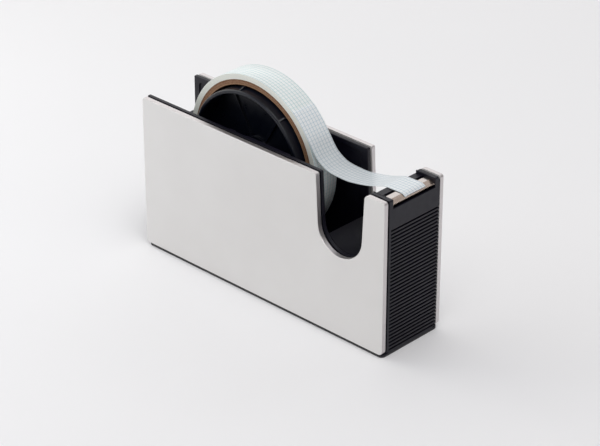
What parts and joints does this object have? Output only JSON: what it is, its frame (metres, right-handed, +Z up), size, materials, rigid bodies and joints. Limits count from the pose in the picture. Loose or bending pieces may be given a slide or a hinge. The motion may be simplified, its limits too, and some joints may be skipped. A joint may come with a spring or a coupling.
{
  "type": "desk tape dispenser",
  "caption": "Weighted desk tape dispenser: two flat side plates on a black body, lift-out reel, finger slot and a serrated blade on a ribbed front post.",
  "frame": {"origin": "middle of the footprint, on the table", "axes": "+X towards the blade end, +Y towards the left side plate seen from behind, +Z up; the tape runs along +X and the reel turns about Y"},
  "size_m": [0.1674, 0.0426, 0.113],
  "materials": {
    "side_plate": "satin white coating",
    "glue": "clear film",
    "body": "fine matt moulded black",
    "screw": "zinc plated",
    "blade": "bright rolled",
    "mat": "matt",
    "ballast": "black oxide",
    "axle": "ground",
    "spacer": "smooth",
    "drum": "smooth moulded",
    "core": "wound card",
    "tape": "smooth film with a pale print"
  },
  "bodies": {
    "dispenser": {"right_side_plate": "side_plate", "left_side_plate": "side_plate", "right_glue_film": "glue", "left_glue_film": "glue", "right_inner_wall": "body", "left_inner_wall": "body", "right_wall_screws": "screw", "left_wall_screws": "screw", "base_tray": "body", "rear_panel": "body", "finger_scoop": "body", "front_cover": "body", "blade_holder": "body", "blade": "blade", "bottom_cover": "body", "bottom_screws": "screw", "base_mat": "mat", "steel_ballast": "ballast"},
    "axle": {"reel_axle": "axle", "axle_spacers": "spacer", "tape_tail": "tape"},
    "reel": {"reel_drum": "drum", "reel_bushes": "spacer", "tape_core": "core", "tape_roll": "tape"}
  },
  "joints": [
    {"name": "reel_lift", "type": "slide", "parent": "dispenser", "child": "axle", "axis": [0, 0, 1], "range_m": [0, 0.09]},
    {"name": "reel_spin", "type": "hinge", "parent": "axle", "child": "reel", "pos_m": [-0.0193, 0, 0.0689], "axis": [0, 1, 0], "continuous": true}
  ]
}
